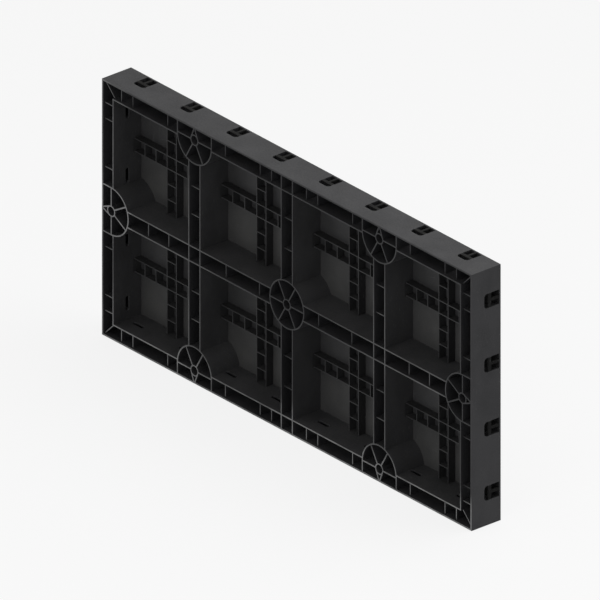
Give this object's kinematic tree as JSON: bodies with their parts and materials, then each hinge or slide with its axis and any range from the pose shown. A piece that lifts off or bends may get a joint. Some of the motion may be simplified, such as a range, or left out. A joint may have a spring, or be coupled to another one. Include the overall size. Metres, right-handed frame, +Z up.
{
  "type": "concrete formwork panel",
  "caption": "Rectangular plastic wall formwork panel with a plain casting face, a deep ribbed back, spoked tie-rod bosses and key slots along every edge.",
  "frame": {"origin": "middle of the long edge it stands on, half way through its depth", "axes": "+X along the length, +Y out of the casting face (the ribs face -Y), +Z up"},
  "size_m": [1.2, 0.08, 0.6],
  "materials": {
    "plastic": "fine moulded texture, lightly scuffed"
  },
  "bodies": {
    "root": {"panel": "plastic"}
  },
  "joints": []
}
